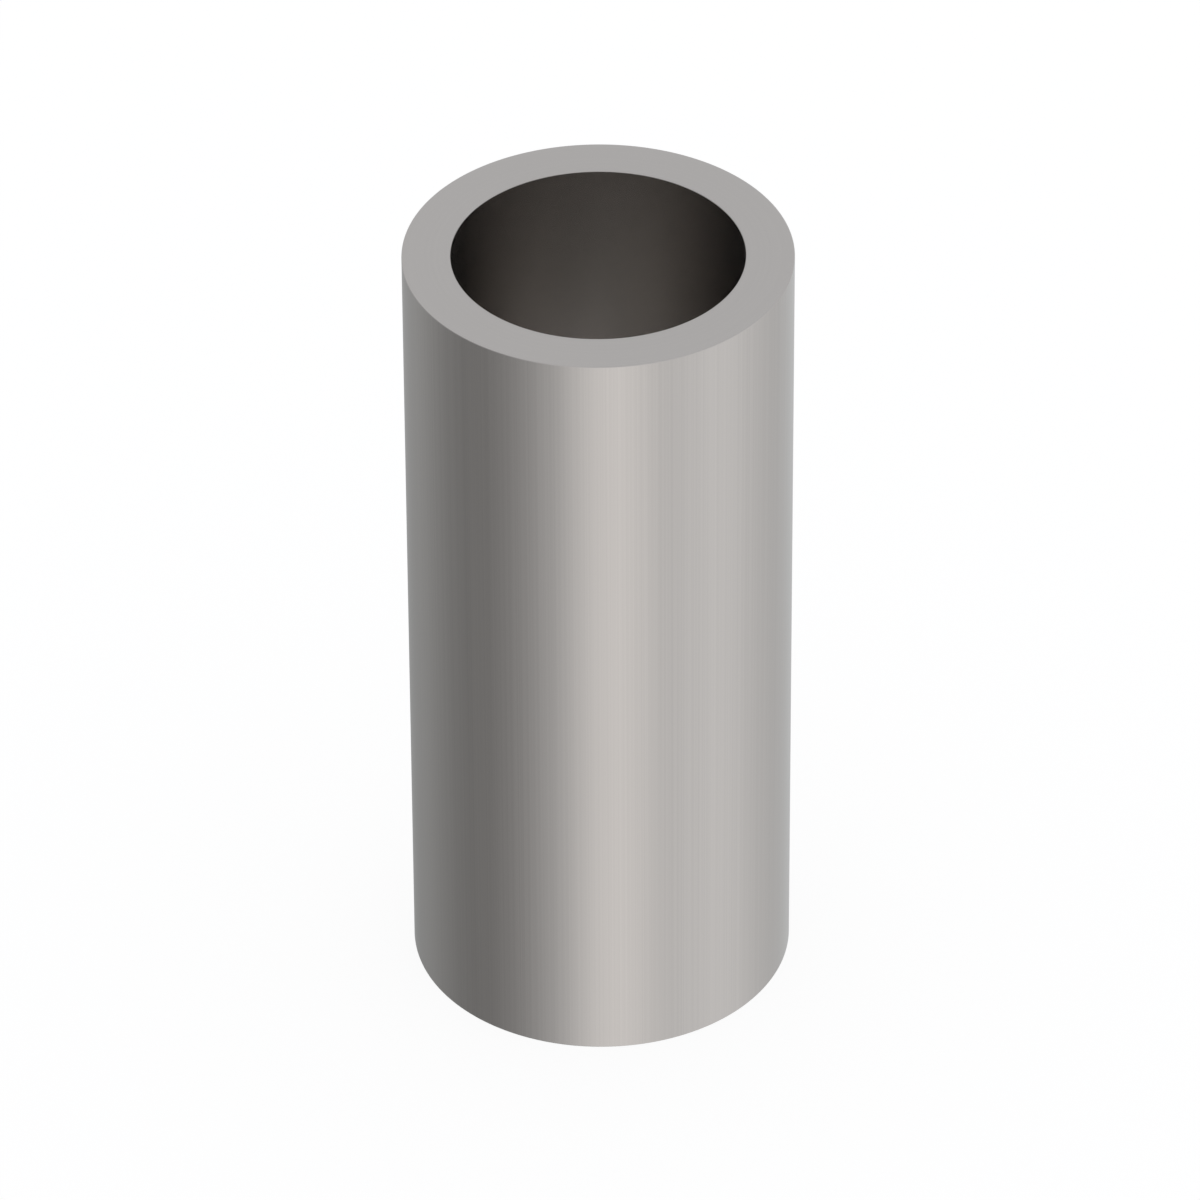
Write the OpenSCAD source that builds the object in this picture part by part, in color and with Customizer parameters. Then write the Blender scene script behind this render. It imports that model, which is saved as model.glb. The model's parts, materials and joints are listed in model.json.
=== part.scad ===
// Plain spacer sleeve: a short length of round steel tube, cut square at both
// ends, with its four end edges broken just enough to take the burr off. It
// slips over a bolt or stud and holds two parts a set distance apart.
// The origin is the centre of the lower end face, with +Z up along the bore.

/* [Tube] */
// Length from end face to end face, which is the gap that the sleeve holds
sleeve_length = 35; // [5:0.5:120]
// Diameter of the plain bore that the bolt passes through
bore_d = 12; // [4:0.5:60]
// Thickness of the tube wall
wall = 2; // [1:0.25:10]

/* [Edges] */
// Width of the 45 degree bevel that deburring leaves on both outer edges
outer_break = 0.05; // [0.02:0.01:0.4]
// Width of the 45 degree bevel that deburring leaves on both bore edges
bore_break = 0.05; // [0.02:0.01:0.4]

/* [Hidden] */

// Radii of the bore and of the outside
bore_r = bore_d / 2;
outer_r = bore_r + wall;

// Bare steel, as it shows on the end face
bare_steel = [0.66, 0.65, 0.64];
$fn = 128;

// One end of the wall in section, as [radius, height above the end face]:
// up the bore edge's bevel, across the flat face and down the outer bevel
end_section = [
    [bore_r, bore_break],
    [bore_r + bore_break, 0],
    [outer_r - outer_break, 0],
    [outer_r, outer_break]
];

// The other end is the same section, turned to face the other way
far_section = [
    for (i = [len(end_section) - 1 : -1 : 0])
        [end_section[i].x, sleeve_length - end_section[i].y]
];

// The wall in section, to the right of the bore's axis
module wall_section() {
    polygon(concat(end_section, far_section));
}

// The whole sleeve, one turned solid with the bore right through it
module sleeve() {
    color(bare_steel)
        rotate_extrude()
            wall_section();
}

sleeve();
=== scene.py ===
import json
import bpy
import numpy as np
from mathutils import Matrix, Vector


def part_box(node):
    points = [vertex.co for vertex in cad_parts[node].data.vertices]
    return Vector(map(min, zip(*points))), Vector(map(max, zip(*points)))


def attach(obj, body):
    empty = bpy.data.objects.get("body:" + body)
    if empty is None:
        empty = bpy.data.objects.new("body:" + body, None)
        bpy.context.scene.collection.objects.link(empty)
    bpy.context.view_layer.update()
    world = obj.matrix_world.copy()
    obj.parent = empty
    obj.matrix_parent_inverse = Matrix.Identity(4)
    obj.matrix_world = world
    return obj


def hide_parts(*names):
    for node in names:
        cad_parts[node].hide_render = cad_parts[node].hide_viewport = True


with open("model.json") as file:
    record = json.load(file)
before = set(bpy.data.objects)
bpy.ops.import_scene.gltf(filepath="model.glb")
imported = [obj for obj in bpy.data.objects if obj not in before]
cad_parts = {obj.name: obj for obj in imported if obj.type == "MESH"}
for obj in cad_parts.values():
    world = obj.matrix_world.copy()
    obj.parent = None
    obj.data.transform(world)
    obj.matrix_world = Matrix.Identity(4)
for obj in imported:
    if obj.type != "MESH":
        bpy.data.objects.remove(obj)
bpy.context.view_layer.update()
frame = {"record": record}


# The sleeve
# One length of round steel tube, sawn off, faced square at both ends on a
# lathe and deburred, so that each of its four edges has a tiny round on it.
# It is a single piece of bare mild steel and stands on its lower end face.
low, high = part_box("sleeve")
bore_mount = next(m for m in frame["record"]["mounts"] if m["name"] == "bore")
length = high.z - low.z
outer_r = min(-low.x, high.x, -low.y, high.y)
bore_r = bore_mount["dims"]["r_mm"] / 1000
edge_r = (length - bore_mount["dims"]["length_mm"] / 1000) / 2

# Steps of the mesh, and the surfaces that differ in finish
TURN_STEPS = 384
EDGE_STEPS = 6
WALL_STEPS = 14
FACE_STEPS = 4
OUTSIDE, FACE, BORE, EDGE = range(4)

# The steel is warm grey and satin. The outside and the bore keep the fine
# lengthwise lines of the drawing die. The bore is the smoother of the two, and
# scatters light further across its lines than along them. Its colour is painted
# lighter than the outside's, to lift the shade deep inside it, and its glance is
# lower, a painted shade where the bore is seen edge on. The ends and the deburred
# edges have the lathe's rings.
STEEL = (0.56, 0.54, 0.52)
# The bore's steel, painted lighter than the outside's to lift the shade deep in the bore
LIGHTENED_BORE_STEEL = (0.628, 0.609, 0.592)
LINE_RUN = 60e-3
LINE_DETAIL = 3
PATCH_PITCH = 4e-3
PATCH_RUN = 9e-3
PATCH_DETAIL = 1
# How much a patch changes the gloss, as a share of what a line does
PATCH_SHARE = 0.25
# The noise's middle range, which nearly all of its values are in
NOISE_LOW = 0.3
NOISE_HIGH = 0.7


def tube_section():
    """Radius, height, outward normal and surface of each point round the wall's section.

    The section is a rectangle with quarter rounds at its corners. Going round
    it, the normal's angle runs over each round from one side's to the next,
    and stays put along each straight side: outside, upper face, bore, lower face.
    """
    round_centres = np.array([
        [outer_r - edge_r, edge_r],
        [outer_r - edge_r, length - edge_r],
        [bore_r + edge_r, length - edge_r],
        [bore_r + edge_r, edge_r],
    ])
    side_steps = [WALL_STEPS, FACE_STEPS, WALL_STEPS, FACE_STEPS]
    side_surfaces = [OUTSIDE, FACE, BORE, FACE]
    points, normals, surfaces = [], [], []
    for side in range(4):
        angle = np.pi / 2 * (side - 1 + np.linspace(0, 1, EDGE_STEPS + 1))
        out = np.stack([np.cos(angle), np.sin(angle)], axis=1)
        rounded = round_centres[side] + edge_r * out
        share = np.linspace(0, 1, side_steps[side] + 1)[1:-1, None]
        run_end = round_centres[(side + 1) % 4] + edge_r * out[-1]
        straight = rounded[-1] + share * (run_end - rounded[-1])
        points += [rounded, straight]
        normals += [out, np.repeat(out[-1:], len(straight), axis=0)]
        surfaces += [EDGE] * EDGE_STEPS + [side_surfaces[side]] * side_steps[side]
    return np.concatenate(points), np.concatenate(normals), np.array(surfaces)


def turned_tube(name):
    """A closed mesh of the section turned about the Z axis.

    A point of the section at radius r and height z, turned by an angle t, is at
    (r cos t, r sin t, z), and its normal turns with it. The mesh closes on
    itself both round the axis and round the section. The unrolled map has the
    turn across it and the distance round the section up it.
    """
    section, out, surfaces = tube_section()
    count = len(section)
    turn = np.linspace(0, 2 * np.pi, TURN_STEPS, endpoint=False)[:, None]
    cos, sin, still = np.cos(turn), np.sin(turn), np.ones_like(turn)
    places = np.stack([cos * section[:, 0], sin * section[:, 0], still * section[:, 1]], axis=2)
    normals = np.stack([cos * out[:, 0], sin * out[:, 0], still * out[:, 1]], axis=2)

    column, row = np.meshgrid(np.arange(TURN_STEPS), np.arange(count), indexing="ij")
    columns = np.stack([column, column + 1, column + 1, column], axis=2)
    rows = np.stack([row, row, row + 1, row + 1], axis=2)
    quads = (columns % TURN_STEPS) * count + rows % count

    mesh = bpy.data.meshes.new(name)
    mesh.from_pydata(places.reshape(-1, 3), [], quads.reshape(-1, 4).tolist())
    mesh.polygons.foreach_set("material_index", np.tile(surfaces, TURN_STEPS).astype(np.int32))

    step = np.linalg.norm(np.roll(section, -1, axis=0) - section, axis=1)
    travelled = np.concatenate([[0], np.cumsum(step)]) / step.sum()
    unrolled = np.stack([columns / TURN_STEPS, travelled[rows]], axis=3)
    mesh.uv_layers.new(name="OFBake").data.foreach_set("uv", unrolled.ravel().astype(np.float32))

    mesh.shade_smooth()
    mesh.normals_split_custom_set_from_vertices(normals.reshape(-1, 3))
    mesh.validate()
    return mesh


def link(tree, source, target):
    tree.links.new(source, target)


def drawn_lines(tree, pitch, run):
    """A vector in which Z is squeezed, so that noise on it makes lines along the tube.

    pitch is the lines' spacing round the tube, and run is their length.
    """
    place = tree.nodes.new("ShaderNodeTexCoord").outputs["Object"]
    squeeze = tree.nodes.new("ShaderNodeMapping")
    squeeze.inputs["Scale"].default_value = (1 / pitch, 1 / pitch, 1 / run)
    link(tree, place, squeeze.inputs["Vector"])
    return squeeze.outputs["Vector"]


def facing_rings(tree, pitch, run):
    """A vector of (distance from the axis / pitch, direction from the axis * outer radius / run).

    Noise on it makes rings round the bore, each of which fades in and out.
    """
    place = tree.nodes.new("ShaderNodeTexCoord").outputs["Object"]
    across = tree.nodes.new("ShaderNodeVectorMath")
    across.operation = "MULTIPLY"
    across.inputs[1].default_value = (1, 1, 0)
    link(tree, place, across.inputs[0])
    distance = tree.nodes.new("ShaderNodeVectorMath")
    distance.operation = "LENGTH"
    link(tree, across.outputs["Vector"], distance.inputs[0])
    direction = tree.nodes.new("ShaderNodeVectorMath")
    direction.operation = "NORMALIZE"
    link(tree, across.outputs["Vector"], direction.inputs[0])
    parts = tree.nodes.new("ShaderNodeSeparateXYZ")
    link(tree, direction.outputs["Vector"], parts.inputs["Vector"])
    rings = tree.nodes.new("ShaderNodeCombineXYZ")
    link(tree, distance.outputs["Value"], rings.inputs["X"])
    link(tree, parts.outputs["X"], rings.inputs["Y"])
    link(tree, parts.outputs["Y"], rings.inputs["Z"])
    squeeze = tree.nodes.new("ShaderNodeMapping")
    squeeze.inputs["Scale"].default_value = (1 / pitch, outer_r / run, outer_r / run)
    link(tree, rings.outputs["Vector"], squeeze.inputs["Vector"])
    return squeeze.outputs["Vector"]


def noise(tree, vector, detail):
    """Soft noise on a vector, with one wave for each unit of it."""
    made = tree.nodes.new("ShaderNodeTexNoise")
    made.inputs["Scale"].default_value = 1
    made.inputs["Detail"].default_value = detail
    link(tree, vector, made.inputs["Vector"])
    return made.outputs["Fac"]


def spread(tree, value, least, most):
    """The noise's middle range stretched over least to most."""
    made = tree.nodes.new("ShaderNodeMapRange")
    made.inputs["From Min"].default_value = NOISE_LOW
    made.inputs["From Max"].default_value = NOISE_HIGH
    made.inputs["To Min"].default_value = least
    made.inputs["To Max"].default_value = most
    link(tree, value, made.inputs["Value"])
    return made.outputs["Result"]


def steel_finish(name, steel, grain, pitch, glance, satin, across, swing, contrast, depth):
    """Bare steel with a grain of fine lines, which vary its tone, gloss and height.

    pitch is the lines' spacing. glance is the share of its light that the
    surface keeps when it is looked at along itself. satin is its roughness,
    and across, from 0 to 1, is how much more of it there is round the sleeve's
    axis than the other way. The lines vary the roughness by swing to either
    side, and broad patches by a share of swing. contrast is the share that the
    lines vary the tone by, to either side, and depth is their height.
    """
    made = bpy.data.materials.new(name)
    made.use_nodes = True
    tree = made.node_tree
    shader = tree.nodes["Principled BSDF"]
    shader.inputs["Metallic"].default_value = 1
    shader.inputs["Specular Tint"].default_value = (glance, glance, glance, 1)
    shader.inputs["Anisotropic"].default_value = across
    # The unrolled map's first direction runs round the axis
    round_axis = tree.nodes.new("ShaderNodeTangent")
    round_axis.direction_type = "UV_MAP"
    round_axis.uv_map = "OFBake"
    link(tree, round_axis.outputs["Tangent"], shader.inputs["Tangent"])
    lines = noise(tree, grain(tree, pitch, LINE_RUN), LINE_DETAIL)
    patches = noise(tree, drawn_lines(tree, PATCH_PITCH, PATCH_RUN), PATCH_DETAIL)

    tone = tree.nodes.new("ShaderNodeMix")
    tone.data_type = "RGBA"
    tone.inputs["A"].default_value = tuple((1 - contrast) * c for c in steel) + (1,)
    tone.inputs["B"].default_value = tuple((1 + contrast) * c for c in steel) + (1,)
    link(tree, spread(tree, lines, 0, 1), tone.inputs["Factor"])
    link(tree, tone.outputs["Result"], shader.inputs["Base Color"])

    gloss = tree.nodes.new("ShaderNodeMath")
    gloss.operation = "ADD"
    patch_swing = PATCH_SHARE * swing
    link(tree, spread(tree, lines, satin - swing, satin + swing), gloss.inputs[0])
    link(tree, spread(tree, patches, -patch_swing, patch_swing), gloss.inputs[1])
    link(tree, gloss.outputs["Value"], shader.inputs["Roughness"])

    relief = tree.nodes.new("ShaderNodeBump")
    relief.inputs["Strength"].default_value = 1
    relief.inputs["Distance"].default_value = depth
    link(tree, lines, relief.inputs["Height"])
    link(tree, relief.outputs["Normal"], shader.inputs["Normal"])
    return made


finishes = {
    OUTSIDE: steel_finish(
        "drawn_outside", STEEL, drawn_lines, pitch=0.07e-3, glance=1,
        satin=0.30, across=0, swing=0.02, contrast=0.04, depth=0.3e-6,
    ),
    FACE: steel_finish(
        "faced_end", STEEL, facing_rings, pitch=0.12e-3, glance=1,
        satin=0.30, across=0, swing=0.02, contrast=0.012, depth=0.2e-6,
    ),
    # Painted light and shade in the bore: its lighter colour lifts the shade deep inside it, and
    # its lower glance paints shade where it is seen edge on
    BORE: steel_finish(
        "drawn_bore", LIGHTENED_BORE_STEEL, drawn_lines, pitch=0.25e-3, glance=0.6,
        satin=0.24, across=0.45, swing=0.004, contrast=0.004, depth=0.02e-6,
    ),
    EDGE: steel_finish(
        "deburred_edge", STEEL, facing_rings, pitch=0.05e-3, glance=1,
        satin=0.30, across=0, swing=0.02, contrast=0.01, depth=0.1e-6,
    ),
}

sleeve = bpy.data.objects.new("spacer_sleeve", turned_tube("spacer_sleeve"))
bpy.context.scene.collection.objects.link(sleeve)
for surface in sorted(finishes):
    sleeve.data.materials.append(finishes[surface])
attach(sleeve, "root")
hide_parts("sleeve")


# The table top
# A plain sheet of opal acrylic, which glows white by itself and takes the
# sleeve's soft shadow. The metal doesn't show it, and shows the tent's lower
# half instead. From below it is clear, so that the lower end can be looked at.
TABLE_R = 0.6
# The sheet's own glow, and the share of other light that it sends back
TABLE_GLOW = 0.86
TABLE_WHITE = 0.2
# Room for the lower end face, so that the two don't lie in one plane
TABLE_GAP = 0.01e-3


def round_sheet(name, radius, height, steps=96):
    """A flat disc that faces up: one face with its corners evenly spaced on a circle."""
    turn = np.linspace(0, 2 * np.pi, steps, endpoint=False)
    rim = np.stack([radius * np.cos(turn), radius * np.sin(turn), np.full(steps, height)], axis=1)
    mesh = bpy.data.meshes.new(name)
    mesh.from_pydata(rim, [], [list(range(steps))])
    return mesh


def opal_acrylic():
    """A dull sheet that glows on its upper side, and lets all light through from below."""
    made = bpy.data.materials.new("opal_acrylic")
    made.use_nodes = True
    made.cycles.emission_sampling = "NONE"
    tree = made.node_tree
    shader = tree.nodes["Principled BSDF"]
    shader.inputs["Base Color"].default_value = (TABLE_WHITE, TABLE_WHITE, TABLE_WHITE, 1)
    shader.inputs["Roughness"].default_value = 1
    shader.inputs["Specular IOR Level"].default_value = 0
    shader.inputs["Emission Color"].default_value = (1, 1, 1, 1)
    shader.inputs["Emission Strength"].default_value = TABLE_GLOW
    side = tree.nodes.new("ShaderNodeNewGeometry")
    clear = tree.nodes.new("ShaderNodeBsdfTransparent")
    either = tree.nodes.new("ShaderNodeMixShader")
    link(tree, side.outputs["Backfacing"], either.inputs["Fac"])
    link(tree, shader.outputs["BSDF"], either.inputs[1])
    link(tree, clear.outputs["BSDF"], either.inputs[2])
    link(tree, either.outputs["Shader"], tree.nodes["Material Output"].inputs["Surface"])
    return made


table_mesh = round_sheet("table_top", TABLE_R, low.z - TABLE_GAP)
table = bpy.data.objects.new("table_top", table_mesh)
bpy.context.scene.collection.objects.link(table)
table.data.materials.append(opal_acrylic())
table.visible_glossy = False


# The light tent
# A round tent of white diffusing cloth, lit from outside. Upright strips of it
# are brighter, warm in front and cool behind, and dark cloth hangs on the left,
# so that the satin wall shows its roundness.
TENT_R = 1.0
CLOTH = (0.704, 0.704, 0.71)
ROOF = (0.705, 0.71, 0.727)
# The least light of any cloth, however much the strips take
DARKEST_CLOTH = 0.02
# at is a strip's compass angle from the camera's side, and reach its half
# width, both in degrees. light is what it adds or takes, and deeper is the
# share of that by which it grows for each degree lower down.
TENT_STRIPS = {
    "front_light": dict(at=9, reach=40, light=(0.35, 0.33, 0.318), deeper=0),
    "right_light": dict(at=74, reach=49, light=(0.21, 0.207, 0.208), deeper=0),
    "left_dark": dict(at=-71, reach=73, light=(-0.438, -0.44, -0.445), deeper=0),
    "rear_light": dict(at=170, reach=44, light=(0.24, 0.262, 0.272), deeper=0),
    "rear_dark": dict(at=-159, reach=103, light=(-0.36, -0.352, -0.355), deeper=0.035),
}
# The elevation, in degrees, at which each strip has just the light said above,
# and the least and the most of that light that it has elsewhere
STRIPS_FROM = -36.5
LEAST_SHARE = 0.2
MOST_SHARE = 2
# The elevations, in degrees, from which to which the strips fade into the roof
ROOF_FROM = 5
ROOF_TO = 25


def tent_light(compass, height):
    """The cloth's colour by compass angle and by elevation, both in degrees.

    Each strip adds half a cosine wave, full at its middle and nothing past its
    reach. The strips fade out from the horizon to the roof, by a smooth step.
    """
    wall = np.tile(CLOTH, compass.shape + (1,))
    for strip in TENT_STRIPS.values():
        away = np.abs((compass - strip["at"] + 180) % 360 - 180) / strip["reach"]
        wave = 0.5 + 0.5 * np.cos(np.pi * np.minimum(away, 1))
        share = np.clip(1 + strip["deeper"] * (STRIPS_FROM - height), LEAST_SHARE, MOST_SHARE)
        wall += (wave * share)[..., None] * strip["light"]
    fade = np.clip((height - ROOF_FROM) / (ROOF_TO - ROOF_FROM), 0, 1)
    fade = (fade * fade * (3 - 2 * fade))[..., None]
    return np.maximum(wall * (1 - fade) + ROOF * fade, DARKEST_CLOTH)


def cloth_tent(name, steps_round=360, steps_up=90):
    """A sphere of the tent's radius about the origin, seen from inside.

    A point at compass angle c and elevation e is at the radius times
    (cos e sin c, -cos e cos c, sin e).
    """
    compass = np.linspace(-180, 180, steps_round, endpoint=False)[:, None]
    height = np.linspace(-90, 90, steps_up + 1)[None, :]
    c, e = np.radians(compass), np.radians(height)
    places = TENT_R * np.stack(
        [np.cos(e) * np.sin(c), -np.cos(e) * np.cos(c), np.sin(e) + 0 * c], axis=2
    )
    column, row = np.meshgrid(np.arange(steps_round), np.arange(steps_up), indexing="ij")
    columns = np.stack([column, column, column + 1, column + 1], axis=2) % steps_round
    rows = np.stack([row, row + 1, row + 1, row], axis=2)
    quads = columns * (steps_up + 1) + rows
    mesh = bpy.data.meshes.new(name)
    mesh.from_pydata(places.reshape(-1, 3), [], quads.reshape(-1, 4).tolist())
    light = tent_light(compass + 0 * height, height + 0 * compass)
    opaque = np.concatenate([light, np.ones(light.shape[:2] + (1,))], axis=2)
    mesh.attributes.new("light", "FLOAT_COLOR", "POINT").data.foreach_set("color", opaque.ravel())
    return mesh


def lit_cloth():
    """Cloth that glows in the colour that the mesh's points hold."""
    made = bpy.data.materials.new("tent_cloth")
    made.use_nodes = True
    made.cycles.emission_sampling = "NONE"
    tree = made.node_tree
    tree.nodes.clear()
    light = tree.nodes.new("ShaderNodeAttribute")
    light.attribute_name = "light"
    glow = tree.nodes.new("ShaderNodeEmission")
    out = tree.nodes.new("ShaderNodeOutputMaterial")
    link(tree, light.outputs["Color"], glow.inputs["Color"])
    link(tree, glow.outputs["Emission"], out.inputs["Surface"])
    return made


tent = bpy.data.objects.new("light_tent", cloth_tent("light_tent"))
bpy.context.scene.collection.objects.link(tent)
tent.data.materials.append(lit_cloth())
tent.visible_camera = False
tent.visible_shadow = False


# The room
# Plain white all round, which shows as the picture's background. The camera
# looks through the tent, and all other light meets the tent's cloth.
room = bpy.data.worlds.new("white_room")
room.use_nodes = True
room.node_tree.nodes["Background"].inputs["Color"].default_value = (1, 1, 1, 1)
room.node_tree.nodes["Background"].inputs["Strength"].default_value = 1
room.cycles.sampling_method = "NONE"
bpy.context.scene.world = room

# Light is thrown from side to side inside the bore many times before it comes out
BOUNCES = 24
bpy.context.scene.cycles.max_bounces = BOUNCES
bpy.context.scene.cycles.glossy_bounces = BOUNCES


# The camera
# A long lens that looks down on the sleeve, placed by where the middle of the
# lower end lies in its view: how far to the right, down and ahead.
LENS_MM = 298.384
SENSOR_MM = 36
LOOK_DOWN_DEG = 36.5436
ROLL_DEG = 0.3032
FOOT_RIGHT = 0.0737e-3
FOOT_DOWN = 14.0562e-3
FOOT_AHEAD = 424.9201e-3

down, roll = np.radians(LOOK_DOWN_DEG), np.radians(ROLL_DEG)
ahead = np.array([0, np.cos(down), -np.sin(down)])
level_right = np.array([1, 0, 0])
level_down = np.array([0, -np.sin(down), -np.cos(down)])
view_right = np.cos(roll) * level_right + np.sin(roll) * level_down
view_down = np.cos(roll) * level_down - np.sin(roll) * level_right
stand = -(FOOT_RIGHT * view_right + FOOT_DOWN * view_down + FOOT_AHEAD * ahead)

camera = bpy.data.objects.new("camera", bpy.data.cameras.new("camera"))
bpy.context.scene.collection.objects.link(camera)
camera.data.lens = LENS_MM
camera.data.sensor_width = SENSOR_MM
turned_and_placed = np.eye(4)
turned_and_placed[:3] = np.stack([view_right, -view_down, -ahead, stand], axis=1)
camera.matrix_world = Matrix(turned_and_placed)
bpy.context.scene.camera = camera
bpy.context.scene.view_settings.view_transform = "Standard"
